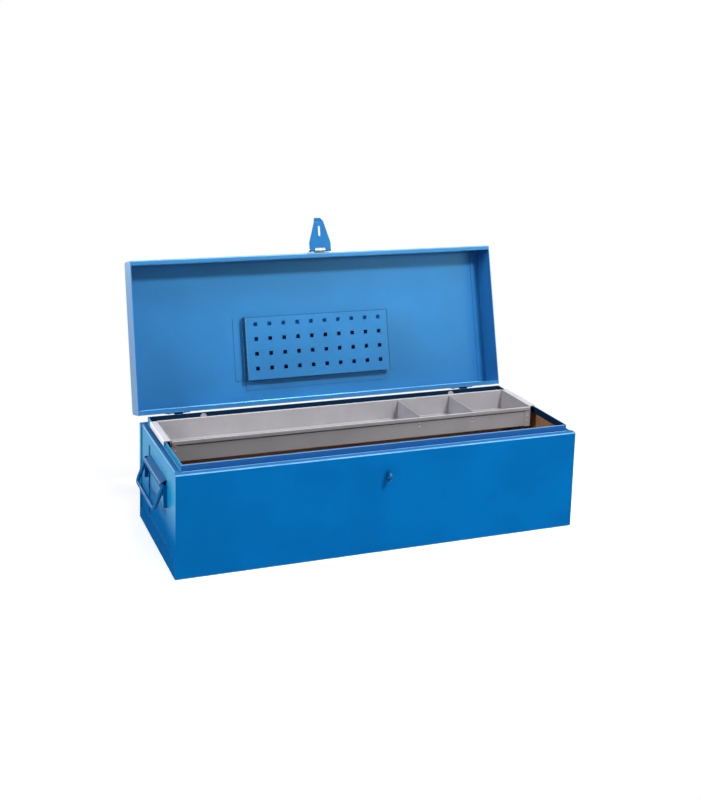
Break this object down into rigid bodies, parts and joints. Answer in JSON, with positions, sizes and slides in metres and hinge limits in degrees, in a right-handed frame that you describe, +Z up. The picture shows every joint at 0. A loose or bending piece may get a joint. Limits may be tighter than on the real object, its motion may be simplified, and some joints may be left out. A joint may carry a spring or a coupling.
{
  "type": "tool chest",
  "caption": "Long sheet steel tool chest with a wood lining, hinged lid, perforated tool panel, sliding tray, hasp and staple, and a drop handle on each end.",
  "frame": {"origin": "centre of the underside, on the surface that the chest stands on", "axes": "+X along the front from left to right as seen from the front, +Y from the front to the hinged back, +Z up"},
  "size_m": [1.051, 0.5827, 0.7062],
  "materials": {
    "shell_paint": "satin",
    "lid_paint": "satin",
    "panel_paint": "satin",
    "handle_paint": "satin",
    "hinge_paint": "satin",
    "staple_paint": "satin",
    "hasp_paint": "satin",
    "hasp_steel": "zinc plated",
    "pin_steel": "zinc plated",
    "tray_paint": "grey paint",
    "board_wood": "bare"
  },
  "bodies": {
    "chest": {"body_wrap": "shell_paint", "end_panel_left": "shell_paint", "end_panel_right": "shell_paint", "floor_board": "board_wood", "lining_front": "board_wood", "lining_back": "board_wood", "lining_left": "board_wood", "lining_right": "board_wood", "staple": "staple_paint", "hinge_body_leaf_left": "hinge_paint", "hinge_body_leaf_right": "hinge_paint", "hinge_pin_left": "pin_steel", "hinge_pin_right": "pin_steel", "hinge_body_rivets": "hinge_paint", "handle_bracket_left": "handle_paint", "handle_bracket_right": "handle_paint", "handle_stops_left": "handle_paint", "handle_stops_right": "handle_paint"},
    "lid": {"lid_shell": "lid_paint", "lid_end_left": "lid_paint", "lid_end_right": "lid_paint", "tool_panel": "panel_paint", "hinge_lid_leaf_left": "hinge_paint", "hinge_lid_leaf_right": "hinge_paint", "hinge_lid_rivets": "hinge_paint", "hasp_leaf": "hasp_steel", "hasp_pin": "pin_steel", "hasp_rivets": "hasp_steel"},
    "hasp": {"hasp_plate": "hasp_paint"},
    "handle_left": {"handle_bail_left": "handle_paint"},
    "handle_right": {"handle_bail_right": "handle_paint"},
    "tray": {"tray_pan": "tray_paint", "tray_end_left": "tray_paint", "tray_end_right": "tray_paint", "tray_hook_left": "tray_paint", "tray_hook_right": "tray_paint", "tray_divider_left": "tray_paint", "tray_divider_right": "tray_paint", "tray_tabs": "tray_paint", "tray_rivets": "tray_paint"}
  },
  "joints": [
    {"name": "lid_hinge", "type": "hinge", "parent": "chest", "child": "lid", "pos_m": [0, 0.201, 0.24015], "axis": [1, 0, 0], "range_deg": [0, 104.7]},
    {"name": "hasp_hinge", "type": "hinge", "parent": "lid", "child": "hasp", "pos_m": [0, 0.29707, 0.62662], "axis": [1, 0, 0], "range_deg": [-80, 90]},
    {"name": "tray_slide", "type": "slide", "parent": "chest", "child": "tray", "axis": [0, 1, 0], "range_m": [-0.146, 0.035]},
    {"name": "handle_left_hinge", "type": "hinge", "parent": "chest", "child": "handle_left", "pos_m": [-0.5005, 0, 0.18], "axis": [0, 1, 0], "range_deg": [0, 157]},
    {"name": "handle_right_hinge", "type": "hinge", "parent": "chest", "child": "handle_right", "pos_m": [0.5005, 0, 0.18], "axis": [0, -1, 0], "range_deg": [0, 157]}
  ]
}
